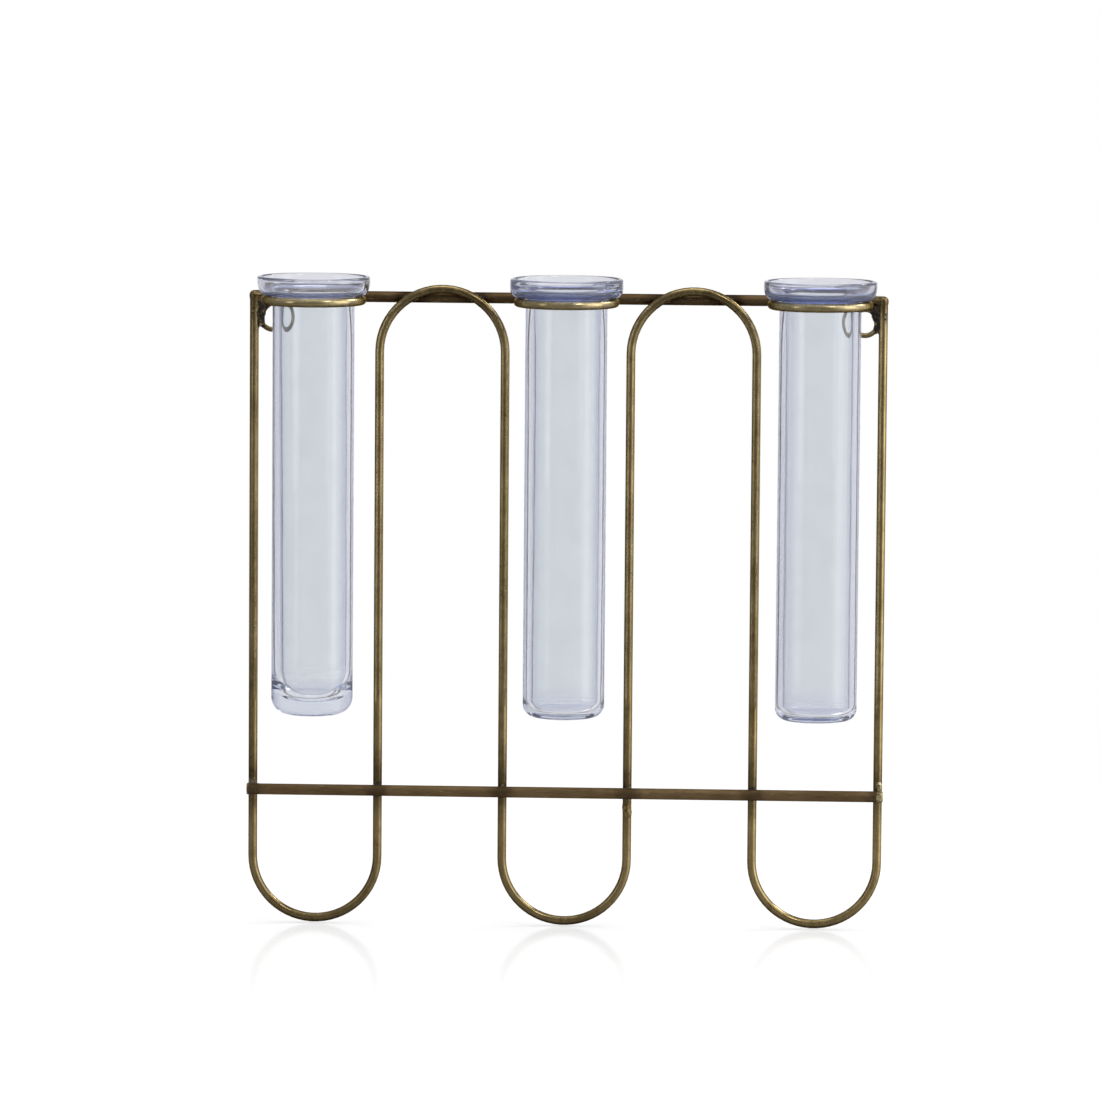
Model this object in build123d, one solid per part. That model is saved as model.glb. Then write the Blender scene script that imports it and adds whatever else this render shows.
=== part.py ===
from build123d import *

import os
from math import cos, pi, radians, sin, sqrt

# Wall-hung vase: glass tubes that drop into rings on a flat frame of bent wire.
# Millimetres. +Z is up, the front faces -Y and the wall is on the +Y side.
# The origin lies midway between the centres of the two hanging loops.

# Tubes from left to right; each hangs between two uprights, over one lower bend
tube_names = ("left", "middle", "right")

# Frame wire: one wire runs down, round a bend, up, over an arch and down again
wire_diameter = 3.2
upright_pitch = 45.4
bend_drop = 226.4
arch_rise = 3.2

# Bars: the top bar lies behind the wire, and the cross bar in front of it
bar_diameter = 4.0
cross_bar_drop = 179.0
bar_end_round_share = 0.25

# Hanging loops: closed rings of thin wire behind the upper corners
loop_wire_diameter = 1.8
loop_inner_diameter = 7.6
loop_inset = 6.6

# Rings: closed hoops of wire that carry the tubes by their collars
ring_wire_diameter = 3.2
ring_clearance = 1.1
seat_clearance = 0.2

# Glass tubes: a straight tube with a round-cornered base and a cup-shaped collar
tube_diameter = 29.4
tube_wall = 2.4
tube_length = 158.0
tube_floor = 5.5
base_round = 4.5
inner_base_round = 7.0
collar_overhang = 2.9
collar_wall = 2.2
collar_rise = 8.6
bowl_round = 1.0
rim_round_share = 0.45

# Brazing: a thin film parts the wires that are joined, and beads stand round it
braze_gap = 0.1
crossing_bead_radius = 2.8
ring_bead_radius = 1.6
ring_bead_length = 6.0
end_bead_proud = 0.3
filler_end_angle = radians(-20)

# Half sizes of the round sections
wire_radius = wire_diameter / 2
bar_radius = bar_diameter / 2
loop_wire_radius = loop_wire_diameter / 2
ring_wire_radius = ring_wire_diameter / 2
tube_radius = tube_diameter / 2

# Depths: the loops lie in the plane y = 0, against the back of the outer uprights
loop_radius = loop_inner_diameter / 2 + loop_wire_radius
wire_y = -(loop_wire_radius + braze_gap + wire_radius)
top_bar_y = wire_y + wire_radius + braze_gap + bar_radius
cross_bar_y = wire_y - wire_radius - braze_gap - bar_radius
top_joint_y = wire_y + wire_radius + braze_gap / 2
cross_joint_y = wire_y - wire_radius - braze_gap / 2

# Heights: the loops hang under the top bar, one film of brazing away from it
loop_to_bar = loop_wire_radius + braze_gap + bar_radius
top_bar_z = loop_radius + sqrt(loop_to_bar**2 - top_bar_y**2)
cross_bar_z = top_bar_z - cross_bar_drop
turn_radius = upright_pitch / 2
bend_centre_z = top_bar_z - bend_drop + turn_radius
arch_centre_z = top_bar_z + arch_rise - turn_radius
wire_end_z = top_bar_z + bar_radius - wire_radius

# Places across the width
upright_count = 2 * len(tube_names)
upright_xs = [(i - (upright_count - 1) / 2) * upright_pitch for i in range(upright_count)]
tube_xs = [(left + right) / 2 for left, right in zip(upright_xs[::2], upright_xs[1::2])]
arch_xs = [(left + right) / 2 for left, right in zip(upright_xs[1::2], upright_xs[2::2])]
frame_half_width = upright_xs[-1] + wire_radius
loop_x = upright_xs[-1] - loop_inset

# Rings touch the front of the top bar at its own height
ring_radius = tube_radius + ring_clearance + ring_wire_radius
ring_joint_y = top_bar_y - bar_radius - braze_gap / 2
ring_y = ring_joint_y - braze_gap / 2 - ring_wire_radius - ring_radius

# Heights and radii of the tube's outline, from the plane of its ring
seat_z = ring_wire_radius + seat_clearance
base_z = collar_rise - tube_length
bore_radius = tube_radius - tube_wall
collar_radius = ring_radius + collar_overhang
mouth_radius = collar_radius - collar_wall
bowl_z = seat_z + collar_wall
throat_round = mouth_radius - bowl_round - bore_radius
rim_round = rim_round_share * collar_wall


def along_x(solid):
    """Turns a solid that was made along Z so that it lies along X."""
    return Rot(Y=90) * solid


def capsule(radius, length):
    """Rod along X with domed ends; the length is between the centres of its domes."""
    rod = along_x(Cylinder(radius, length))
    for end in (-length / 2, length / 2):
        rod += Pos(X=end) * Sphere(radius)
    return rod


def serpentine_path():
    """Centreline of the frame wire, from the top left end to the top right end."""
    edges = []
    start = (upright_xs[0], wire_y, wire_end_z)
    for i, (x, next_x) in enumerate(zip(upright_xs, upright_xs[1:])):
        bends_below = i % 2 == 0
        turn_z = bend_centre_z if bends_below else arch_centre_z
        crown_z = turn_z - turn_radius if bends_below else turn_z + turn_radius
        turn_start = (x, wire_y, turn_z)
        turn_end = (next_x, wire_y, turn_z)
        edges.append(Line(start, turn_start))
        edges.append(ThreePointArc(turn_start, ((x + next_x) / 2, wire_y, crown_z), turn_end))
        start = turn_end
    edges.append(Line(start, (upright_xs[-1], wire_y, wire_end_z)))
    return Wire(edges)


def serpentine_wire():
    """Frame wire with domed ends, level with the top of the top bar."""
    path = serpentine_path()
    wire = sweep(Plane(origin=path @ 0, z_dir=path % 0) * Circle(wire_radius), path=path)
    for end in (path @ 0, path @ 1):
        wire += Pos(end) * Sphere(wire_radius)
    return wire


def top_bar():
    """Bar with domed ends that finish level with the outer sides of the frame wire."""
    return Pos(0, top_bar_y, top_bar_z) * capsule(bar_radius, 2 * (frame_half_width - bar_radius))


def cross_bar():
    """Bar with cut ends, lightly rounded, level with the outer sides of the frame wire."""
    bar = Cylinder(bar_radius, 2 * frame_half_width)
    bar = fillet(bar.edges().filter_by(GeomType.CIRCLE), bar_end_round_share * bar_radius)
    return Pos(0, cross_bar_y, cross_bar_z) * along_x(bar)


def tube_ring(x):
    """Closed hoop that lies level in front of the top bar."""
    return Pos(x, ring_y, top_bar_z) * Torus(ring_radius, ring_wire_radius)


def hanging_loop(side):
    """Closed loop that faces the wall; side is -1 on the left and 1 on the right."""
    return Pos(X=side * loop_x) * Rot(X=90) * Torus(loop_radius, loop_wire_radius)


def tube_outline():
    """Half section of a glass tube, radius along X and height along Z."""
    neck_z = seat_z - (ring_radius - tube_radius)
    rim_z = collar_rise - rim_round
    floor_z = base_z + tube_floor
    outside = [
        Line((0, base_z), (tube_radius - base_round, base_z)),
        CenterArc((tube_radius - base_round, base_z + base_round), base_round, -90, 90),
        Line((tube_radius, base_z + base_round), (tube_radius, neck_z)),
        CenterArc((ring_radius, neck_z), ring_radius - tube_radius, 180, -90),
        CenterArc((ring_radius, seat_z + collar_overhang), collar_overhang, -90, 90),
        Line((collar_radius, seat_z + collar_overhang), (collar_radius, rim_z)),
        CenterArc((collar_radius - rim_round, rim_z), rim_round, 0, 90),
        Line((collar_radius - rim_round, collar_rise), (mouth_radius + rim_round, collar_rise)),
    ]
    inside = [
        CenterArc((mouth_radius + rim_round, rim_z), rim_round, 90, 90),
        Line((mouth_radius, rim_z), (mouth_radius, bowl_z + bowl_round)),
        CenterArc((mouth_radius - bowl_round, bowl_z + bowl_round), bowl_round, 0, -90),
        CenterArc((bore_radius + throat_round, bowl_z - throat_round), throat_round, 90, 90),
        Line((bore_radius, bowl_z - throat_round), (bore_radius, floor_z + inner_base_round)),
        CenterArc((bore_radius - inner_base_round, floor_z + inner_base_round), inner_base_round, 0, -90),
        Line((bore_radius - inner_base_round, floor_z), (0, floor_z)),
        Line((0, floor_z), (0, base_z)),
    ]
    return Plane.XZ * make_face(outside + inside)


def glass_tube(x):
    """Glass tube that hangs by its collar on its ring."""
    return Pos(x, ring_y, top_bar_z) * revolve(tube_outline(), Axis.Z)


def crossing_bead(x, y, z, wires):
    """Bead of brazing round the point where two wires cross, dressed back at the frame's sides."""
    bead = Pos(x, y, z) * Sphere(crossing_bead_radius)
    dressed_width = 2 * (frame_half_width + end_bead_proud)
    bead &= Pos(0, y, z) * Box(dressed_width, crossing_bead_radius * 2, crossing_bead_radius * 2)
    return bead - wires


def ring_weld(x, wires):
    """Bead along the line where a ring touches the top bar."""
    return Pos(x, ring_joint_y, top_bar_z) * capsule(ring_bead_radius, ring_bead_length) - wires


def corner_weld(side, wires):
    """Brazing that fills the corner between the top bar, an outer upright and a hanging loop."""
    upright_x = upright_xs[-1]
    under_bar_z = top_bar_z - bar_radius
    arc_end = (loop_x + loop_radius * cos(filler_end_angle), loop_radius * sin(filler_end_angle))
    arc_middle_angle = (pi / 2 + filler_end_angle) / 2
    arc_middle = (loop_x + loop_radius * cos(arc_middle_angle), loop_radius * sin(arc_middle_angle))
    outline = [
        Polyline(
            arc_end,
            (upright_x, arc_end[1]),
            (upright_x, top_bar_z),
            (upright_x - wire_radius, top_bar_z),
            (loop_x, under_bar_z),
            (loop_x, loop_radius),
        ),
        ThreePointArc((loop_x, loop_radius), arc_middle, arc_end),
    ]
    filler = extrude(Plane.XZ * make_face(outline), -wire_y)
    if side < 0:
        filler = mirror(filler, Plane.YZ)
    return filler - wires


def arch_crossing_xs():
    """Places along the top bar where the arches cross its axis."""
    half_chord = sqrt(turn_radius**2 - (turn_radius - arch_rise) ** 2)
    return [x + side * half_chord for x in arch_xs for side in (-1, 1)]


def vase():
    """All pieces by name."""
    wire = serpentine_wire()
    top = top_bar()
    cross = cross_bar()
    pieces = {"serpentine_wire": wire, "top_bar": top, "cross_bar": cross}
    for name, side in (("left", -1), ("right", 1)):
        loop = hanging_loop(side)
        pieces[f"hanging_loop_{name}"] = loop
        pieces[f"corner_weld_{name}"] = corner_weld(side, [wire, top, loop])
    for name, x in zip(tube_names, tube_xs):
        ring = tube_ring(x)
        pieces[f"tube_ring_{name}"] = ring
        pieces[f"ring_weld_{name}"] = ring_weld(x, [ring, top])
        pieces[f"glass_tube_{name}"] = glass_tube(x)
    for number, x in enumerate(arch_crossing_xs(), start=1):
        pieces[f"arch_weld_{number}"] = crossing_bead(x, top_joint_y, top_bar_z, [wire, top])
    for number, x in enumerate(upright_xs, start=1):
        pieces[f"cross_weld_{number}"] = crossing_bead(x, cross_joint_y, cross_bar_z, [wire, cross])
    return pieces


os.makedirs("parts", exist_ok=True)
for node, solid in vase().items():
    export_step(solid, f"parts/{node}.step")
    print(node, len(solid.solids()), "solid,", round(solid.volume, 2), "mm3")
print("loops at x", -loop_x, loop_x, "y 0 z 0, hole radius", loop_inner_diameter / 2)
print("tube axes at x", tube_xs, "y", ring_y, "ring plane z", top_bar_z)
print("bore radius", bore_radius, "from z", top_bar_z + base_z + tube_floor + inner_base_round)
print("bore ends at z", top_bar_z + bowl_z - throat_round, "rim z", top_bar_z + collar_rise)
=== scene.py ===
# %% [markdown]
# # A wall vase of bent brass wire with three glass tubes
# The shapes of the vase come packed from the CAD model, in metres. This lesson gives every
# piece its finish, models the brazing that a CAD bead only hints at, and lights the vase the
# way a small studio would. The CAD box is kept, and the beads are held inside it.

from math import cos, pi, radians, sin, sqrt

import bmesh
import bpy
import numpy as np
from mathutils import Matrix, Vector, noise


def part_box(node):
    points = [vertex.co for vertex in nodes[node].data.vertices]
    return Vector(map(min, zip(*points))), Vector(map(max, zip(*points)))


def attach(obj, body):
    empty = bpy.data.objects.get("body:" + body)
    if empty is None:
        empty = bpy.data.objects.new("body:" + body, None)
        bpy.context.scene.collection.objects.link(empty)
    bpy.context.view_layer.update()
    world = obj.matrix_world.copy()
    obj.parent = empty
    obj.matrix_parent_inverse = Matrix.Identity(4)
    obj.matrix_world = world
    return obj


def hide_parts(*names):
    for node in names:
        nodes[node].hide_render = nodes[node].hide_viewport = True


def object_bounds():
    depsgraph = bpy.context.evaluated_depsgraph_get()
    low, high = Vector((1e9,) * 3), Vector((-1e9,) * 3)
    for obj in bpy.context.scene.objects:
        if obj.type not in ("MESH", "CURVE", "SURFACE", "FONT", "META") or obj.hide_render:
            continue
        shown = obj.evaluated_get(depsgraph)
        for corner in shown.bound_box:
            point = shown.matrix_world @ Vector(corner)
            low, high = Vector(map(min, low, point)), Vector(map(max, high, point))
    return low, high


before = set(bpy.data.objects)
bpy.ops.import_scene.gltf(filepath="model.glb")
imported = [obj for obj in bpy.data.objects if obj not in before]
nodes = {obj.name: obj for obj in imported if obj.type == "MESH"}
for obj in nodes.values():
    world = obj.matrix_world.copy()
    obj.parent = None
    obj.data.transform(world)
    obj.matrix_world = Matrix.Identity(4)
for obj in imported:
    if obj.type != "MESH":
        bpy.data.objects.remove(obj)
cad_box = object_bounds()
MM = 0.001
print("pieces from CAD:", len(nodes), "box", [round(v, 4) for v in cad_box[1] - cad_box[0]])

# %% [markdown]
# ## Writing shaders as sums
# A finish is a graph of nodes. Placing nodes one by one hides the idea, so a small class wraps
# one socket and turns Python's own operators into Math nodes. Every other node comes from one
# method, which sets the node's settings first and then its sockets.


# %% Sockets that can be added and multiplied
class Value:
    """One output socket of a node tree; sums on it add Math nodes to that tree."""

    def __init__(self, tree, socket):
        self.tree = tree
        self.socket = socket

    def math(self, operation, first, second=0.0):
        """Adds one Math node."""
        return self.tree.node("ShaderNodeMath", {"operation": operation}, {0: first, 1: second})

    def __add__(self, other):
        return self.math("ADD", self, other)

    def __radd__(self, other):
        return self.math("ADD", other, self)

    def __sub__(self, other):
        return self.math("SUBTRACT", self, other)

    def __rsub__(self, other):
        return self.math("SUBTRACT", other, self)

    def __mul__(self, other):
        return self.math("MULTIPLY", self, other)

    def __rmul__(self, other):
        return self.math("MULTIPLY", other, self)

    def __abs__(self):
        return self.math("ABSOLUTE", self)

    def at_least(self, other):
        """The larger of this value and another."""
        return self.math("MAXIMUM", self, other)

    def fraction(self):
        """What is left after the whole number."""
        return self.math("FRACT", self)


class Tree:
    """The nodes of one material or of the world."""

    def __init__(self, owner):
        owner.use_nodes = True
        self.nodes = owner.node_tree.nodes
        self.links = owner.node_tree.links
        self.nodes.clear()

    def node(self, kind, settings=None, sockets=None, out=0):
        """Adds a node, sets it up, links or fills its sockets, and gives one of its outputs."""
        made = self.nodes.new(kind)
        for name, value in (settings or {}).items():
            setattr(made, name, value)
        for name, value in (sockets or {}).items():
            if isinstance(value, Value):
                self.links.new(value.socket, made.inputs[name])
            else:
                made.inputs[name].default_value = value
        return Value(self, made.outputs[out]) if made.outputs else made

    def place(self):
        """Position on the piece, in metres, in the frame of the vase."""
        return self.node("ShaderNodeTexCoord", out="Object")

    def parts(self, vector):
        """The three numbers of a vector."""
        split = self.node("ShaderNodeSeparateXYZ", sockets={0: vector})
        return [split] + [Value(self, split.socket.node.outputs[i]) for i in (1, 2)]

    def rays(self):
        """Whether a ray comes straight from the camera, off a mirror or through glass, 0 or 1 each."""
        outputs = self.node("ShaderNodeLightPath").socket.node.outputs
        return [Value(self, outputs[f"Is {kind} Ray"]) for kind in ("Camera", "Glossy", "Transmission")]

    def noise(self, vector, size, detail=3.0, roughness=0.5):
        """Cloudy value about 0.5, with clouds of one size in millimetres."""
        sockets = {"Vector": vector, "Scale": 1 / (size * MM), "Detail": detail, "Roughness": roughness}
        return self.node("ShaderNodeTexNoise", sockets=sockets)

    def stretched(self, vector, x, y, z):
        """The same place, squeezed along each axis."""
        return self.node("ShaderNodeVectorMath", {"operation": "MULTIPLY"}, {0: vector, 1: (x, y, z)})

    def step(self, value, low, high):
        """Rises smoothly from 0 to 1 as the value goes from low to high."""
        sockets = {"Value": value, "From Min": low, "From Max": high}
        return self.node("ShaderNodeMapRange", {"interpolation_type": "SMOOTHSTEP"}, sockets)

    def mix(self, share, first, second):
        """Colour between two colours."""
        sockets = {"Factor": share, 6: first, 7: second}
        return self.node("ShaderNodeMix", {"data_type": "RGBA"}, sockets, out=2)

    def blend(self, share, first, second):
        """Shader between two shaders."""
        return self.node("ShaderNodeMixShader", sockets={0: share, 1: first, 2: second})

    def bump(self, height, distance, strength=1.0):
        """Normal that makes a height from 0 to 1 look this many millimetres deep."""
        sockets = {"Height": height, "Distance": distance * MM, "Strength": strength}
        return self.node("ShaderNodeBump", sockets=sockets)

    def end(self, shader, kind="ShaderNodeOutputMaterial", volume=None):
        """Joins the shader, and the inside of the piece where it has one, to the output."""
        sockets = {"Surface": shader}
        if volume:
            sockets["Volume"] = volume
        self.node(kind, sockets=sockets)


def colour(red, green, blue):
    """A colour as a paint chart gives it, 0 to 255, turned into the linear light Blender mixes."""
    return tuple(((v / 255 + 0.055) / 1.055) ** 2.4 for v in (red, green, blue)) + (1.0,)


print("shader helpers ready; mid grey is", [round(v, 3) for v in colour(128, 128, 128)])

# %% [markdown]
# ## Antique brass
# The wire is brass-coloured metal that was darkened and then rubbed back: golden where a cloth
# reached, brown in the hollows, with reddish streaks along the wire and a few pale scuffs. The
# sides and undersides are darker too, which is painted shade. Painting such wear by hand would
# tie it to one wire, so clouds of several sizes decide it, and the way the surface faces decides
# the painted shade. Metal colour is what it reflects, so the tones are mixed in Base Color, with
# Metallic at one.

# %% Brass finish
RED_STREAK = colour(104, 70, 40)
PALE_SCUFF = colour(206, 188, 148)
SOOT_AND_SHADE_BLACK = colour(38, 26, 18)
LOW_WIRE = (-60 * MM, -200 * MM)
LESS_DARK_TO_RIGHT = (-20 * MM, 70 * MM)
DRAWN_OUT, SCUFF_SHARE = 0.07, 2.5


def antique_brass(name, along, gold, brown, dark, matt, shade, soot):
    """Darkened brass, drawn along one axis; matt is its least roughness, shade how much painted
    shade darkens the sides and undersides, and soot masks dark joints, partly painted shade on the top bar."""
    material = bpy.data.materials.new(name)
    tree = Tree(material)
    place = tree.place()
    x, _, z = tree.parts(place)
    drawn = tree.stretched(place, *[DRAWN_OUT if axis == along else 1 for axis in "XYZ"])
    shorter = tree.stretched(drawn, *[SCUFF_SHARE if axis == along else 1 for axis in "XYZ"])
    patches = tree.noise(place, 22, detail=4, roughness=0.55)
    mottle = tree.noise(place, 2.6, detail=4, roughness=0.6)
    grain = tree.noise(drawn, 0.42, detail=3)
    streaks = tree.noise(drawn, 1.9, detail=2)
    scuffs = tree.noise(shorter, 0.8, detail=4)
    _, to_front, to_top = tree.parts(tree.node("ShaderNodeNewGeometry", out="Normal"))
    ragged = 0.1 * (grain - 0.5)
    rubbed = 0.5 * patches + 0.3 * streaks + 0.2 * mottle
    # Darker towards the bottom, less so towards the right.
    low = tree.step(z, *LOW_WIRE) * (1 - 0.85 * shade * tree.step(x, *LESS_DARK_TO_RIGHT))
    # Rubbed patches first, then painted shade on the sides and undersides.
    tone = tree.mix(tree.step(rubbed, 0.36, 0.62), brown, gold)
    tone = tree.mix(0.6 * shade * tree.step(abs(to_front) + ragged, 0.62, 0.2), tone, dark)
    tone = tree.mix(0.85 * shade * tree.step(to_top + ragged, 0.1, -0.7), tone, dark)
    # Reddish streaks, dark grain, dark spots and pale scuffs.
    tone = tree.mix(0.3 * tree.step(streaks, 0.56, 0.72), tone, RED_STREAK)
    tone = tree.mix(0.35 * tree.step(grain, 0.5, 0.72), tone, dark)
    tone = tree.mix(0.4 * tree.step(mottle, 0.34, 0.27), tone, dark)
    tone = tree.mix(0.45 * tree.step(scuffs, 0.62, 0.72), tone, PALE_SCUFF)
    # The lower wire is darker, most of all on the left, and joints are blackened, which behind the arches on
    # the top bar is partly painted shade.
    tone = tree.mix(0.35 * low, tone, dark)
    tone = tree.mix(soot(tree, x, z, mottle), tone, SOOT_AND_SHADE_BLACK)
    shader = tree.node("ShaderNodeBsdfPrincipled", sockets={
        "Base Color": tone,
        "Metallic": 1.0,
        "Specular Tint": (0.42, 0.34, 0.22, 1),
        "Roughness": matt + 0.08 * tree.step(mottle, 0.35, 0.7) + 0.06 * grain,
        "Normal": tree.bump(0.3 * mottle + 0.7 * grain, 0.02, 0.4),
    })
    tree.end(shader)
    return material


print("brass wear: streaks", [round(v, 3) for v in RED_STREAK], "scuffs", [round(v, 3) for v in PALE_SCUFF])

# %% [markdown]
# ## Soot from the flame
# The frame was brazed with a flame, which left the metal smoked beside most joints. Behind the
# arches the dark on the top bar is partly soot and partly painted shade. The dark places could be
# painted on, but they follow from where the wires meet. So the bars' heights are read from the
# CAD pieces, and each finish gets a small function that says how sooty a place is. The clouds of
# the brass make the edges of the soot ragged.


# %% Where the wires meet, in millimetres
def middle_mm(node):
    """Middle of a CAD piece in millimetres."""
    low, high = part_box(node)
    return np.array((low + high) / 2) / MM


UPRIGHT_PITCH = 45.4
TURN_R = UPRIGHT_PITCH / 2
ARCH_RISE = 3.2
arch_half_chord = sqrt(TURN_R ** 2 - (TURN_R - ARCH_RISE) ** 2)
bar_y, bar_z = middle_mm("top_bar")[1:]
cross_y, cross_z = middle_mm("cross_bar")[1:]
print("bars at z", round(bar_z, 2), round(cross_z, 2), "arches", round(2 * arch_half_chord, 1), "wide there")

# %% Soot beside the joints
ABOVE_TO_BELOW = 1.6


def no_soot(tree, x, z, mottle):
    """The rings show no soot."""
    return 0.0


def soot_and_shade_behind_arches(tree, x, z, mottle):
    """The top bar is nearly black where each arch crosses it: soot from brazing, and painted shade where the
    arch sits in front.
    """
    from_arch = abs(abs(x) - UPRIGHT_PITCH * MM)
    from_crossing = abs(from_arch - arch_half_chord * MM)
    return 0.8 * tree.step(from_crossing + 6 * MM * (mottle - 0.5), 8.5 * MM, 2 * MM)


def soot_at_bars(tree, x, z, mottle):
    """The frame wire is smoked beside each bar, further above the cross bar than below it."""
    above_cross = z - cross_z * MM
    from_cross = above_cross.at_least(-ABOVE_TO_BELOW * above_cross)
    near_cross = tree.step(from_cross + 8 * MM * (mottle - 0.5), 22 * MM, 1 * MM)
    from_top = abs(z - bar_z * MM)
    near_top = tree.step(from_top + 12 * MM * (mottle - 0.5), 7 * MM, 1 * MM)
    return 0.62 * near_cross.at_least(0.7 * near_top)


def soot_at_uprights(tree, x, z, mottle):
    """The cross bar is smoked where each upright passes behind it."""
    pitches = abs(x) * (1 / (UPRIGHT_PITCH * MM))
    beside = abs(pitches.fraction() - 0.5)
    return 0.5 * tree.step(beside + 0.12 * (mottle - 0.5), 0.13, 0.03)


wire_brass = antique_brass("antique_brass_wire", "Z", colour(198, 176, 126), colour(154, 132, 88),
                           colour(70, 58, 38), matt=0.15, shade=1, soot=soot_at_bars)
ring_brass = antique_brass("antique_brass_ring", "X", colour(216, 199, 154), colour(186, 167, 122),
                           colour(102, 88, 60), matt=0.18, shade=1, soot=no_soot)
bar_brass = antique_brass("antique_brass_bar", "X", colour(166, 141, 104), colour(140, 116, 83),
                          colour(84, 68, 48), matt=0.55, shade=0, soot=soot_at_uprights)
top_bar_brass = antique_brass("antique_brass_top_bar", "X", colour(118, 97, 69), colour(93, 74, 51),
                              colour(56, 44, 31), matt=0.45, shade=0.5, soot=soot_and_shade_behind_arches)
print("brass finishes:", wire_brass.name, ring_brass.name, bar_brass.name, top_bar_brass.name)

# %% [markdown]
# ## Brazing
# The joints were closed with a filler rod and a flame. Where the flux burnt, the filler is
# black and lumpy, with small golden grains where it was knocked. One material covers both by
# letting a fine cloud choose between burnt flux, which isn't metallic, and bare filler. Four
# kinds follow from its tones: burnt, cleaned, grey with ash, and pale.


# %% Brazing finish
def brazing(name, burnt_share, ash, soot, worn=colour(104, 86, 52), bright=colour(164, 142, 92)):
    """Filler metal, from worn to bright, with burnt flux from ash to soot on this share of it."""
    material = bpy.data.materials.new(name)
    tree = Tree(material)
    place = tree.place()
    lumps = tree.noise(place, 1.6, detail=4, roughness=0.6)
    grains = tree.noise(place, 0.5, detail=3)
    relief = 0.7 * lumps + 0.3 * grains
    burnt = tree.step(relief, burnt_share + 0.08, burnt_share - 0.08)
    metal = tree.mix(tree.step(lumps, 0.35, 0.65), worn, bright)
    crust = tree.mix(tree.step(grains, 0.4, 0.65), soot, ash)
    shader = tree.node("ShaderNodeBsdfPrincipled", sockets={
        "Base Color": tree.mix(burnt, metal, crust),
        "Metallic": 1 - 0.85 * burnt,
        "Roughness": 0.34 + 0.3 * burnt,
        "Normal": tree.bump(relief, 0.25, 0.7),
    })
    tree.end(shader)
    return material


burnt_brazing = brazing("brazing_burnt", 0.58, colour(58, 54, 46), colour(22, 21, 18))
clean_brazing = brazing("brazing_clean", 0.36, colour(58, 54, 46), colour(24, 23, 20))
grey_brazing = brazing("brazing_grey", 0.52, colour(98, 106, 98), colour(52, 56, 50),
                       worn=colour(92, 76, 48), bright=colour(132, 112, 74))
pale_brazing = brazing("brazing_pale", 0.33, colour(70, 66, 54), colour(30, 28, 22),
                       worn=colour(122, 106, 70), bright=colour(204, 190, 146))
print("brazing finishes:", burnt_brazing.name, clean_brazing.name, grey_brazing.name, pale_brazing.name)

# %% [markdown]
# ## Tinted glass
# The tubes are thick glass with a faint lavender tint and a thin uneven film. Absorption inside
# the glass deepens the colour where light travels far, as in the base. On a thin wall that is
# too weak to draw the lavender lines along its edges, so painted shade deepens the tint where the
# surface turns away from the eye. The cup and the foot have tints of their own, and a deep blue
# band of painted shade lies on the neck under the cup. A little haze keeps the glass from looking
# like a hole in the picture.

# %% Glass finish
CUP_START = (11 * MM, 12.5 * MM)
NECK_HEIGHT = 9.5 * MM
NECK_FADE = (2.2 * MM, 0.8 * MM)
LEFT_TUBE_END = (-60 * MM, -30 * MM)
FOOT_START = (-129 * MM, -139 * MM)
CLEAR_TINT, FILM_TINT = (0.851, 0.874, 0.894, 1), (0.832, 0.854, 0.875, 1)
CUP_TINT, FOOT_TINT = (0.8, 0.805, 0.855, 1), (0.79, 0.81, 0.86, 1)
EDGE_SHADE_TINT = (0.34, 0.36, 0.62, 1)
NECK_SHADE_TINT = (0.08, 0.14, 0.52, 1)


def tinted_glass(name):
    """Clear glass whose tint depends on the height and on a thin film, with painted shade on the edges and
    the neck.
    """
    material = bpy.data.materials.new(name)
    tree = Tree(material)
    place = tree.place()
    x, _, z = tree.parts(place)
    cup = tree.step(z, *CUP_START)
    foot = tree.step(z, *FOOT_START)
    # Painted shade: a deep blue band on the neck under the cup, deeper on the middle and right tubes.
    deeper_shade = 0.35 + 0.55 * tree.step(x, *LEFT_TUBE_END)
    neck = tree.step(abs(z - NECK_HEIGHT), *NECK_FADE) * deeper_shade
    waves = tree.noise(tree.stretched(place, 1, 1, 0.25), 14, detail=2)
    film = tree.noise(place, 9, detail=5, roughness=0.6)
    facing = tree.node("ShaderNodeLayerWeight", sockets={"Blend": 0.5}, out="Facing")
    # Painted shade: the tint turns dark lavender where the surface turns away from the eye.
    edge_shade = (1 - 0.8 * cup) * (1 - 0.5 * foot) * tree.step(facing, 0.28, 0.95)
    tint = tree.mix(tree.step(film, 0.4, 0.75), CLEAR_TINT, FILM_TINT)
    tint = tree.mix(cup, tint, CUP_TINT)
    tint = tree.mix(foot, tint, FOOT_TINT)
    tint = tree.mix(edge_shade, tint, EDGE_SHADE_TINT)
    clear = tree.node("ShaderNodeBsdfPrincipled", sockets={
        "Base Color": tree.mix(neck, tint, NECK_SHADE_TINT),
        "Roughness": 0.012 + 0.03 * tree.step(film, 0.55, 0.8),
        "IOR": 1.5,
        "Transmission Weight": 1.0,
        "Normal": tree.bump(waves, 0.25, 0.5),
    })
    haze = tree.node("ShaderNodeBsdfDiffuse", sockets={"Color": (0.68, 0.71, 0.84, 1)})
    depth = tree.node("ShaderNodeVolumeAbsorption", sockets={"Color": (0.06, 0.18, 0.5, 1), "Density": 7.0})
    tree.end(tree.blend(0.025 + 0.03 * film, clear, haze), volume=depth)
    return material


glass = tinted_glass("clear_glass")
print("glass finish:", glass.name)

# %% [markdown]
# ## Finishes on the CAD pieces
# The wires and bars keep their CAD meshes and only swap their material. Nodes are picked by
# the start of their names, so a new ring or bar would get its finish without a change here.

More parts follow.
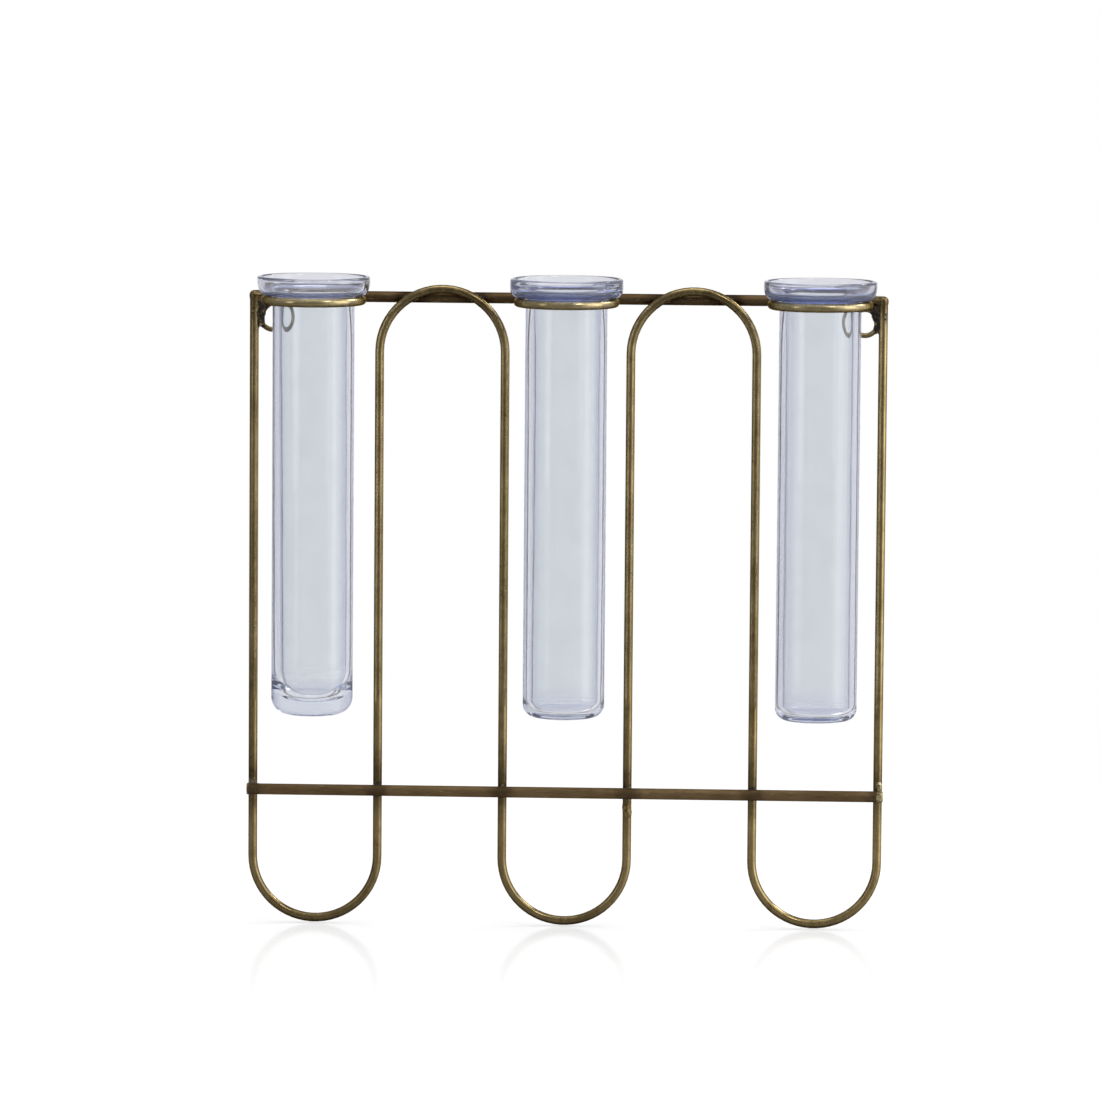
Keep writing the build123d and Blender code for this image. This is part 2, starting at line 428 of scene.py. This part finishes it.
# %% Dress the wires and bars
FINISHES = {
    "serpentine_wire": wire_brass,
    "tube_ring": ring_brass,
    "hanging_loop": wire_brass,
    "cross_bar": bar_brass,
    "top_bar": top_bar_brass,
}
for name, piece in nodes.items():
    for start, finish in FINISHES.items():
        if name.startswith(start):
            piece.data.materials.clear()
            piece.data.materials.append(finish)
            print("dressed", name, "in", finish.name)

# %% [markdown]
# ## Glass tubes
# The tubes are drawn by hand from thick tubing, so no two are alike: one cup flares more than
# the next, each base is rounded in its own way and the bore drifts off the middle. Lathing a
# profile and letting it waver a little gives that, where a perfect CAD tube looks like plastic.
# The bore ends in a full oval, because a round end gathers light into a bright band. On the two
# thin bases its corners follow the outer ones, since thicker glass there would act as a lens and
# show dark. The outside keeps the main sizes of the CAD tube, so each drops into its ring.


# %% Profile of a tube
def arc(centre, across, along, start, stop, steps=14, fullness=2.0):
    """Points of an oval's arc from start to stop degrees, as radius and height; an ellipse has a
    fullness of 2, and a fuller oval starts and ends its bend more gently."""
    turns = np.radians(np.linspace(start, stop, steps))
    wide, high = [np.sign(v) * np.abs(v) ** (2 / fullness) for v in (np.cos(turns), np.sin(turns))]
    return list(zip(centre[0] + across * wide, centre[1] + along * high))


def straight(start, stop, steps):
    """Points between two places, without the two ends."""
    return [tuple(p) for p in np.linspace(start, stop, steps + 2)[1:-1]]


TUBE, WALL, RIM, CUP_WALL = 14.7, 2.4, 20.3, 1.6
RING, SEAT, RISE, BASE = 17.4, 1.8, 8.6, -149.4
BOWL_ROUND = 1.6
FLAT_BASE = 4.0
LONG_STEPS = 40
FLOOR_FULLNESS = 2.6


def tube_profile(cup_height, cup_floor, floor, low_wall, heel, hollow):
    """Outline from the outside of the base, over the rim, to the inside of the base, in millimetres."""
    bore, low_bore, mouth, lip = TUBE - WALL, TUBE - low_wall, RIM - CUP_WALL, CUP_WALL / 2
    bowl = SEAT + cup_floor
    flare = RING - TUBE
    neck = SEAT - flare
    throat = mouth - BOWL_ROUND - bore
    inner_floor = BASE + floor
    bowl_height = min(cup_height, RISE - lip - bowl)
    across, along = hollow
    hollow_centre = (low_bore - across, inner_floor + along)
    points = [(0.0, BASE), (FLAT_BASE, BASE)]
    points += arc((TUBE - heel, BASE + heel), heel, heel, -90, 0)
    points += straight((TUBE, BASE + heel), (TUBE, neck), LONG_STEPS)
    points += arc((RING, neck), flare, flare, 180, 90)
    points += arc((RING, SEAT + cup_height), RIM - RING, cup_height, -90, 0)[1:]
    points += arc((RIM - lip, RISE - lip), lip, lip, 0, 180)
    points += arc((mouth - BOWL_ROUND, bowl + bowl_height), BOWL_ROUND, bowl_height, 0, -90)[1:]
    points += arc((bore + throat, bowl - throat), throat, throat, 90, 180)[1:]
    points += straight((bore, bowl - throat), (low_bore, inner_floor + along), LONG_STEPS)
    points += arc(hollow_centre, across, along, 0, -90, LONG_STEPS, FLOOR_FULLNESS)[1:]
    return points + [(0.0, inner_floor)]


print("profile of", len(tube_profile(4.0, 2.0, 5.5, 3.0, 5.0, (6, 8))), "points")

# %% Drift of a hand-drawn wall
SLICES = 144
BORE_DRIFT, OUTSIDE_DRIFT = 0.22, 0.07
MOST_TWIST = 14
around = np.linspace(0, 2 * pi, SLICES, endpoint=False)


def waver(height, seed):
    """Smooth drift round the wall at one height, from about -1 to 1."""
    rng = np.random.default_rng(seed)
    total = 0
    for lobes in (1, 2, 3):
        phase, twist = rng.uniform(0, 2 * pi), rng.uniform(-MOST_TWIST, MOST_TWIST)
        size = rng.uniform(0.5, 1.0)
        total = total + size * np.cos(lobes * around + phase + twist * height * MM)
    return total / 2.2


print("a bore drifts by up to", round(BORE_DRIFT * np.abs(waver(BASE / 2, 12)).max(), 2), "mm half way down")

# %% [markdown]
# ## Lathing the glass
# A lathe turns one profile round an axis. A Screw modifier would do so too, but with every turn
# alike. Laying the rows of points in code lets each row drift, and closing the bands between
# them gives one skin that runs over the rim and down the bore, which clear glass needs.


# %% Lathe the tubes
def finish_mesh(name, mesh, material):
    """Turns a bmesh into a smooth object with one material."""
    bmesh.ops.recalc_face_normals(mesh, faces=mesh.faces)
    data = bpy.data.meshes.new(name)
    mesh.to_mesh(data)
    mesh.free()
    data.shade_smooth()
    data.materials.append(material)
    made = bpy.data.objects.new(name, data)
    bpy.context.scene.collection.objects.link(made)
    return made


def lathe(mesh, lower, upper):
    """Closes the band between two rows of points; a row of one point is a tip."""
    for k in range(SLICES):
        after = k + 1
        corners = [lower[k % len(lower)], lower[after % len(lower)]]
        corners += [upper[after % len(upper)], upper[k % len(upper)]]
        mesh.faces.new(list(dict.fromkeys(corners)))


LIP_POINTS = 6


def glass_tube(side, seed, **sizes):
    """One hand-drawn tube in place of its CAD tube; the seed sets how its walls drift."""
    node = f"glass_tube_{side}"
    low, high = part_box(node)
    axis = (low + high) / 2
    ring_z = high.z - RISE * MM
    profile = np.array(tube_profile(**sizes))
    top = int(np.argmax(profile[:, 1]))
    mesh = bmesh.new()
    rows = []
    for i, (radius, height) in enumerate(profile):
        z = ring_z + height * MM
        if radius == 0:
            rows.append([mesh.verts.new((axis.x, axis.y, z))])
            continue
        inside = i > top + LIP_POINTS
        drift = (BORE_DRIFT if inside else OUTSIDE_DRIFT) * waver(height, seed + inside)
        wide = np.minimum(radius + drift, RIM)
        places = np.stack([wide * np.cos(around), wide * np.sin(around)], 1) * MM
        rows.append([mesh.verts.new((axis.x + u, axis.y + v, z)) for u, v in places])
    for lower, upper in zip(rows, rows[1:]):
        lathe(mesh, lower, upper)
    tube = finish_mesh(f"tube_{side}", mesh, glass)
    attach(tube, f"tube_{side}")
    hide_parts(node)
    return tube


for tube in (
    glass_tube("left", 11, cup_height=5.2, cup_floor=1.7,
               floor=5.3, low_wall=2.7, heel=6.2, hollow=(9, 13)),
    glass_tube("middle", 23, cup_height=3.2, cup_floor=2.3,
               floor=2.6, low_wall=2.4, heel=4.6, hollow=(3.6, 4.4)),
    glass_tube("right", 37, cup_height=4.4, cup_floor=2.4,
               floor=2.6, low_wall=2.4, heel=4.0, hollow=(3.0, 3.4)),
):
    print(tube.name, len(tube.data.vertices), "points")

# %% [markdown]
# ## Brazed joints
# Molten filler creeps into the crook between two wires and freezes as a small hollow curve.
# Modelling that by hand for every joint is slow. Instead each wire is a formula for the
# distance to it, and running two distances together makes the hollow curve by itself.


# %% Distances to rods and hoops
def rod(start, stop, radius):
    """Distance to a round rod with domed ends, in millimetres."""
    start, stop = np.array(start, float), np.array(stop, float)
    along = stop - start

    def distance(points):
        share = np.clip(((points - start) @ along) / (along @ along), 0, 1)
        return np.linalg.norm(points - start - share[..., None] * along, axis=-1) - radius

    return distance


def hoop(centre, flat_axis, hoop_radius, radius):
    """Distance to a round hoop that lies flat across one axis, 0 for X to 2 for Z."""
    def distance(points):
        offset = points - np.array(centre, float)
        height = offset[..., flat_axis]
        wide = np.linalg.norm(np.delete(offset, flat_axis, -1), axis=-1)
        return np.hypot(wide - hoop_radius, height) - radius

    return distance


def run_together(first, second, width):
    """Smaller of two distances, with the crook between them filled over this width."""
    share = np.clip(0.5 + 0.5 * (second - first) / width, 0, 1)
    return second * (1 - share) + first * share - width * share * (1 - share)


print("a point 3 mm from a 1.6 mm rod:", rod((0, 0, 0), (9, 0, 0), 1.6)(np.array([[4.0, 3.0, 0.0]])))

# %% [markdown]
# ## From distances to beads
# A bead needs a skin where the joined distance is nought. A volume turned into a mesh would give
# one, but it follows the wires for their whole length. A ball at the middle of the joint, each
# point moved out until it leaves the filler, gives only the bead. It runs a hair inside the
# wires, so that only the filler shows, and small knobs are raised where filler lies.

# %% Shrink a ball onto the filler
BOX_LOW, BOX_HIGH = [np.array(v) / MM for v in cad_box]
SKIN = 0.05
FIRST_STEP, STEPS_OUT = 0.05, 70
FILLED = 0.02
JOINT_SPREAD, KNOBS_ROUND = 9, 1.6


def bead(name, centre, shapes, material, stands_for=None, *, width, reach, lump):
    """Filler over this width round a joint; reach is how far it may creep along the wires and
    lump how high its knobs stand."""
    mesh = bmesh.new()
    bmesh.ops.create_icosphere(mesh, subdivisions=5, radius=1.0)
    mesh.verts.ensure_lookup_table()
    ways = np.array([v.co for v in mesh.verts])
    centre = np.array(centre, float)
    spots = [Vector(centre / JOINT_SPREAD + way * KNOBS_ROUND) for way in ways]
    knobs = np.array([noise.fractal(spot, 0.8, 2.0, 3) for spot in spots])
    radii = np.linspace(FIRST_STEP, reach, STEPS_OUT)
    points = centre + ways[:, None, :] * radii[None, :, None]
    total = shapes[0](points) + SKIN
    for shape in shapes[1:]:
        total = run_together(total, shape(points) + SKIN, width)
    bare = np.min([shape(points) for shape in shapes], axis=0) + SKIN
    total = total - np.where(np.abs(total - bare) > FILLED, lump * knobs[:, None], 0)
    outside = total > 0
    outside[:, -1] = True
    size = radii[np.argmax(outside, axis=1)]
    for vert, way, r in zip(mesh.verts, ways, size):
        vert.co = Vector(np.clip(centre + way * r, BOX_LOW, BOX_HIGH) * MM)
    made = finish_mesh(name, mesh, material)
    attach(made, "frame")
    if stands_for:
        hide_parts(stands_for)
    return made


print("beads stay inside the box from", BOX_LOW.round(1), "to", BOX_HIGH.round(1))

# %% [markdown]
# ## Joints of the frame
# Each bar is brazed to each wire that it crosses, and each ring to the top bar. The wires run on
# past the joints, so a bead only needs to know the straight rod or round hoop next to it. Those
# are written once, from the CAD pieces, and shared by all the beads.

# %% Rods that meet at the joints
WIRE_R, BAR_R = 1.6, 2.0
END_BEAD_PROUD = 0.3
UPRIGHT_TAIL = 30
wire_y = middle_mm("serpentine_wire")[1]
side_x = BOX_HIGH[0] - END_BEAD_PROUD
arch_centre_z = bar_z + ARCH_RISE - TURN_R


def upright_at(x, top=0.0):
    """Distance to one upright, from below the cross bar to a height."""
    return rod((x, wire_y, cross_z - UPRIGHT_TAIL), (x, wire_y, top), WIRE_R)


top_rod = rod((-side_x + BAR_R, bar_y, bar_z), (side_x - BAR_R, bar_y, bar_z), BAR_R)
cross_rod = rod((-side_x, cross_y, cross_z), (side_x, cross_y, cross_z), BAR_R)
cross_joint_y = (wire_y - WIRE_R + cross_y + BAR_R) / 2
top_joint_y = (wire_y + WIRE_R + bar_y - BAR_R) / 2
print("joints at y", round(cross_joint_y, 2), "on the cross bar and", round(top_joint_y, 2), "on the top bar")

# %% Beads at the crossings
beads = []
for i in range(2, 6):
    x = (i - 3.5) * UPRIGHT_PITCH
    joint = (x, cross_joint_y, cross_z)
    beads.append(bead(f"bead_cross_{i}", joint, [upright_at(x), cross_rod], burnt_brazing,
                      f"cross_weld_{i}", width=1.8, reach=3.8, lump=0.12))
for i in range(1, 5):
    x = middle_mm(f"arch_weld_{i}")[0]
    arch_x = UPRIGHT_PITCH if x > 0 else -UPRIGHT_PITCH
    arch = hoop((arch_x, wire_y, arch_centre_z), 1, TURN_R, WIRE_R)
    joint = (x, top_joint_y, bar_z)
    beads.append(bead(f"bead_arch_{i}", joint, [arch, top_rod], burnt_brazing,
                      f"arch_weld_{i}", width=1.5, reach=3.4, lump=0.1))
for side in ("left", "middle", "right"):
    x, y, z = middle_mm(f"tube_ring_{side}")
    ring = hoop((x, y, z), 2, RING, WIRE_R)
    joint = (x, y + RING + WIRE_R, bar_z)
    beads.append(bead(f"bead_ring_{side}", joint, [ring, top_rod], clean_brazing,
                      f"ring_weld_{side}", width=2.2, reach=6.0, lump=0.2))
print("beads at crossings:", len(beads))

# %% [markdown]
# ## Joints that show
# Three kinds of joint catch the eye. In the upper corners the upright seems to bend into the
# bar, with burnt filler in the crook below. The cross bar's ends are drowned in filler, grey on
# the left and a bright knob on the right. On the fourth upright a drop ran down and froze.

# %% Upper corners
LOOP_R, LOOP_WIRE_R = 4.7, 0.9
end_x = side_x - WIRE_R
for side, sign in (("left", -1), ("right", 1)):
    x = sign * end_x
    upright = upright_at(x, bar_z + BAR_R - WIRE_R)
    turn_in = rod((x, wire_y + 0.2, bar_z + 0.4), (x - sign * 5.5, bar_y - 0.8, bar_z + 0.5), WIRE_R)
    elbow = bead(f"elbow_{side}", (x - sign * 1.2, -1.6, bar_z - 0.2), [upright, turn_in, top_rod],
                 wire_brass, width=0.9, reach=6.5, lump=0.05)
    loop = hoop((middle_mm(f"hanging_loop_{side}")[0], 0, 0), 1, LOOP_R, LOOP_WIRE_R)
    filler = rod((x - sign * 1.9, -1.2, -1.6), (x - sign * 3.2, -0.3, 5.0), 1.15)
    plug = rod((x - sign * 1.4, -1.4, 2.0), (x - sign * 2.0, -1.0, 6.0), 1.1)
    crook = bead(f"filler_{side}", (x - sign * 2.2, -0.9, 2.2), [filler, plug, upright, loop],
                 burnt_brazing, f"corner_weld_{side}", width=1.6, reach=7.0, lump=0.4)
    print(elbow.name, crook.name, [round(v / MM, 1) for v in crook.dimensions], "mm")

# %% Ends of the cross bar
knob_x = end_x + 0.7
knob = rod((knob_x, cross_y - 0.3, cross_z), (knob_x, cross_y + 0.3, cross_z), 2.1)
ball_top = (knob_x, cross_joint_y, cross_z + 3.6)
ball_foot = (end_x + 0.4, cross_joint_y + 0.4, cross_z + 2.8)
bright_ball = rod(ball_top, ball_foot, 0.9)
grey_end = bead("bead_cross_1", (-end_x, cross_joint_y, cross_z), [upright_at(-end_x), cross_rod],
                grey_brazing, "cross_weld_1", width=2.8, reach=4.6, lump=0.15)
pale_end = bead("bead_cross_6", (end_x, cross_joint_y, cross_z), [upright_at(end_x), knob, bright_ball],
                pale_brazing, "cross_weld_6", width=1.0, reach=5.2, lump=0.15)
print("ends of the cross bar:", grey_end.name, pale_end.name)

# %% Frozen drop
drop_x, drop_z = UPRIGHT_PITCH / 2, cross_z - 6.5
LUMP_R = 1.3
core = rod((drop_x, wire_y, drop_z - 2.6), (drop_x, wire_y, drop_z + 2.6), WIRE_R - 0.1)
left_x, right_x, front_y = drop_x - 0.2, drop_x + 0.2, wire_y - 0.5
upper_lump = rod((left_x, front_y, drop_z + 1.4), (left_x, front_y, drop_z + 0.6), LUMP_R)
lower_lump = rod((right_x, front_y, drop_z - 0.8), (right_x, wire_y - 0.4, drop_z - 1.6), LUMP_R)
frozen_drop = bead("frozen_drop", (drop_x, wire_y, drop_z), [core, upper_lump, lower_lump],
                   clean_brazing, width=0.8, reach=4.5, lump=0.2)
print("frozen drop", [round(v / MM, 1) for v in frozen_drop.dimensions], "mm")

# %% [markdown]
# ## Floor
# The vase stands over a white sheet that shows only a soft shadow and a faint mirror image
# under the bends. A disc does the same: white and slightly glossy under the vase, duller
# towards the front, and fading out before its edge can show. Seen straight or through the glass
# it is partly plain white, as an overexposed sheet is. To the brass it is mostly hidden, since
# a white floor mirrored in the wires would wash out their undersides.

# %% Pale floor
SHEET_TONES = (0.94, 0.94, 0.94, 1), (0.96, 0.96, 0.96, 1)
PURE_WHITE = (1, 1, 1, 1)
SHEEN_DEPTH = (-400 * MM, -20 * MM)


def pale_floor(height, radius):
    """White disc that fades out towards its edge."""
    bpy.ops.mesh.primitive_circle_add(vertices=96, radius=radius, fill_type="NGON", location=(0, 0, height))
    floor = bpy.context.object
    floor.name = "floor"
    material = bpy.data.materials.new("white_sheet")
    tree = Tree(material)
    place = tree.place()
    distance = tree.node("ShaderNodeVectorMath", {"operation": "LENGTH"}, {0: place}, out="Value")
    fade = tree.step(distance, 0.35 * radius, 0.95 * radius)
    paper = tree.step(tree.noise(place, 2, detail=3), 0.3, 0.7)
    camera, glossy, through = tree.rays()
    matt = tree.node("ShaderNodeBsdfDiffuse", sockets={"Color": tree.mix(paper, *SHEET_TONES)})
    gloss = tree.node("ShaderNodeBsdfGlossy", sockets={"Color": PURE_WHITE, "Roughness": 0.12})
    white = tree.node("ShaderNodeEmission", sockets={"Color": PURE_WHITE, "Strength": 1.0})
    sheen = 0.34 * tree.step(tree.parts(place)[1], *SHEEN_DEPTH)
    sheet = tree.blend(0.5 * camera + 0.75 * through, tree.blend(sheen, matt, gloss), white)
    unseen = fade.at_least(0.75 * glossy * (1 - through))
    tree.end(tree.blend(unseen, sheet, tree.node("ShaderNodeBsdfTransparent")))
    floor.data.materials.append(material)
    return floor


FLOOR_GAP, FLOOR_RADIUS = 0.4 * MM, 0.6
floor = pale_floor(cad_box[0].z - FLOOR_GAP, FLOOR_RADIUS)
print("floor at", round(floor.location.z, 4))

# %% [markdown]
# ## Light
# Brass only looks like brass if it has something to mirror. Two soft boxes and a broad lamp
# above give it a bright right side and a dimmer left one, and two small strong lamps put sparks
# on the rings and rims. Each lamp's power comes from its size and from how bright it would look
# in a mirror, so that a lamp can grow or shrink while its mirror image stays as bright.


# %% Lamps
def soft_box(name, place, width, height, brightness):
    """Flat lamp that faces the vase; brightness is what it would read in a mirror, 1 for white."""
    data = bpy.data.lights.new(name, "AREA")
    data.shape = "RECTANGLE"
    data.size, data.size_y = width, height
    data.energy = brightness * pi * width * height
    lamp = bpy.data.objects.new(name, data)
    lamp.location = place
    facing = Vector((0, 0, -0.1)) - Vector(place)
    lamp.rotation_euler = facing.to_track_quat("-Z", "Y").to_euler()
    bpy.context.scene.collection.objects.link(lamp)
    return lamp


lamps = [
    soft_box("key_right", (1.25, -0.45, 0.35), 0.8, 1.5, 1.1),
    soft_box("fill_left", (-1.0, -0.8, 0.25), 0.3, 0.9, 0.9),
    soft_box("spark_front", (0.62, -0.88, 1.05), 0.3, 0.3, 7.0),
    soft_box("spark_right", (1.0, 0.55, 0.9), 0.4, 0.4, 10.0),
    soft_box("top", (0.0, -0.1, 1.3), 0.9, 0.9, 1.3),
]
print("lamps:", [(lamp.name, round(lamp.data.energy, 1)) for lamp in lamps])

# %% [markdown]
# ## Surroundings
# A photograph on white has no walls in it, yet metal and glass need them. So the world answers
# each kind of ray in its own way. It is white to the camera. Brass mirrors a dim room with a
# brighter right side. Through the glass it is white, but a shade darker to the sides, below and
# behind the camera, which is what draws the bends of clear glass.


# %% World behind the vase
def surroundings(light_level):
    """World that lights at one level, mirrors as a dim room and shows white."""
    world = bpy.data.worlds.new("studio")
    bpy.context.scene.world = world
    tree = Tree(world)
    x, y, z = tree.parts(tree.node("ShaderNodeTexCoord", out="Generated"))
    camera, glossy, through = tree.rays()
    walls = tree.step(abs(x), 0.5, 0.85)
    room = tree.step(y, -0.2, -0.9)
    below = tree.step(z, -0.12, -0.6)
    right_side = 0.6 * tree.step(x, 0.3, 0.9)
    behind_vase = 0.75 * tree.step(y, 0.85, 0.97)
    ceiling = 0.2 * tree.step(z, 0.1, 0.9)
    mirrored = 0.2 + right_side + behind_vase + ceiling
    seen_through = 1 - 0.12 * walls - 0.15 * room - 0.12 * below
    level = light_level + 2.2 * tree.step(z, 0.8, 0.96)
    level = level + glossy * (mirrored - level)
    level = level + through * (seen_through - level)
    level = level + camera * (1 - level)
    hue = tree.mix(through * walls, PURE_WHITE, (0.94, 0.94, 1, 1))
    sky = tree.node("ShaderNodeBackground", sockets={"Color": hue, "Strength": level})
    tree.end(sky, "ShaderNodeOutputWorld")
    return world


print("surroundings:", surroundings(0.5).name)

# %% [markdown]
# ## Camera
# The photograph was taken from a little above and far back: the rims are thin ellipses and the
# uprights stay parallel. A long lens at two and a half metres gives the same view, turned a
# touch to the left and rolled by less than a degree, as the sloping bars in it show. Light may
# bounce many times, because a ray in a thick rim or base is thrown back and forth before it
# leaves, and a ray that is cut short would leave the glass black.

# %% Camera at the photograph's place
PIXELS = 1100
VIEW_DISTANCE = 2.5
PIXELS_PER_MM = 2.7652
SENSOR_WIDTH = 36
MOST_BOUNCES = 64
SHIFT_RIGHT, SHIFT_UP = -15.8, 46.7
turn, lift, roll = radians(2.14), radians(6.25), radians(0.45)
back = Vector((sin(turn) * cos(lift), -cos(turn) * cos(lift), sin(lift)))
right = Vector((cos(turn), sin(turn), 0))
up = back.cross(right)
aim = Vector((0, -6 * MM, -100 * MM))
eye = aim + VIEW_DISTANCE * back
rolled_right = right * cos(roll) + up * sin(roll)
rolled_up = up * cos(roll) - right * sin(roll)
aim += (SHIFT_RIGHT * rolled_right + SHIFT_UP * rolled_up) / PIXELS_PER_MM * MM
camera = bpy.data.objects.new("camera", bpy.data.cameras.new("camera"))
away = (eye - aim).normalized()
level_right = (rolled_right - away * rolled_right.dot(away)).normalized()
camera.matrix_world = Matrix((level_right, away.cross(level_right), away)).transposed().to_4x4()
camera.location = eye
camera.data.sensor_width = SENSOR_WIDTH
camera.data.lens = SENSOR_WIDTH * PIXELS_PER_MM * VIEW_DISTANCE / MM / PIXELS
scene = bpy.context.scene
scene.collection.objects.link(camera)
scene.camera = camera
scene.view_settings.view_transform = "Standard"
scene.cycles.max_bounces = MOST_BOUNCES
scene.cycles.transmission_bounces = MOST_BOUNCES
scene.cycles.glossy_bounces = MOST_BOUNCES
print("lens", round(camera.data.lens, 1), "mm at", [round(v, 3) for v in camera.location])
